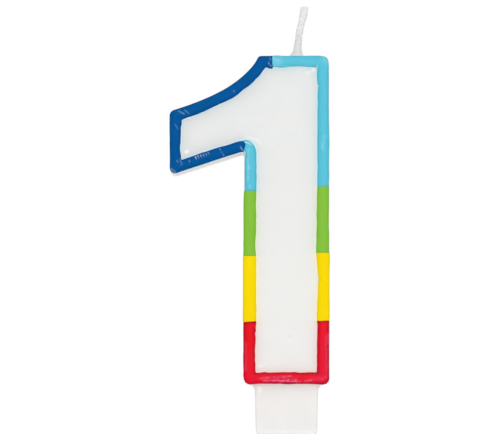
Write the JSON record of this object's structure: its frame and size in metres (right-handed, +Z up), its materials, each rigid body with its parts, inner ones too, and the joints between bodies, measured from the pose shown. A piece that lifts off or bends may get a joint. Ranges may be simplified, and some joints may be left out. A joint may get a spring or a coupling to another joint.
{
  "type": "number candle",
  "caption": "Cast wax candle in the shape of the figure one, with a raised painted rainbow rim round a sunken panel, a tab foot for icing and a cotton wick.",
  "frame": {"origin": "middle of the foot's flat end", "axes": "+Z up along the stem towards the wick, +X to the right as seen from the painted front, -Y out of the painted front"},
  "size_m": [0.0323, 0.0095, 0.0873],
  "materials": {
    "cast_wax": "satin white paraffin wax, slightly translucent",
    "cotton_wick": "plaited cotton primed with wax",
    "dark_blue_paint": "brushed glossy coat",
    "light_blue_paint": "brushed glossy coat",
    "green_paint": "brushed glossy coat",
    "yellow_paint": "brushed glossy coat",
    "red_paint": "brushed glossy coat"
  },
  "bodies": {
    "root": {"wax_body": "cast_wax", "wick": "cotton_wick", "dark_blue_coat": "dark_blue_paint", "light_blue_coat_right": "light_blue_paint", "light_blue_coat_left": "light_blue_paint", "green_coat_left": "green_paint", "green_coat_right": "green_paint", "yellow_coat_left": "yellow_paint", "yellow_coat_right": "yellow_paint", "red_coat": "red_paint"}
  },
  "joints": []
}
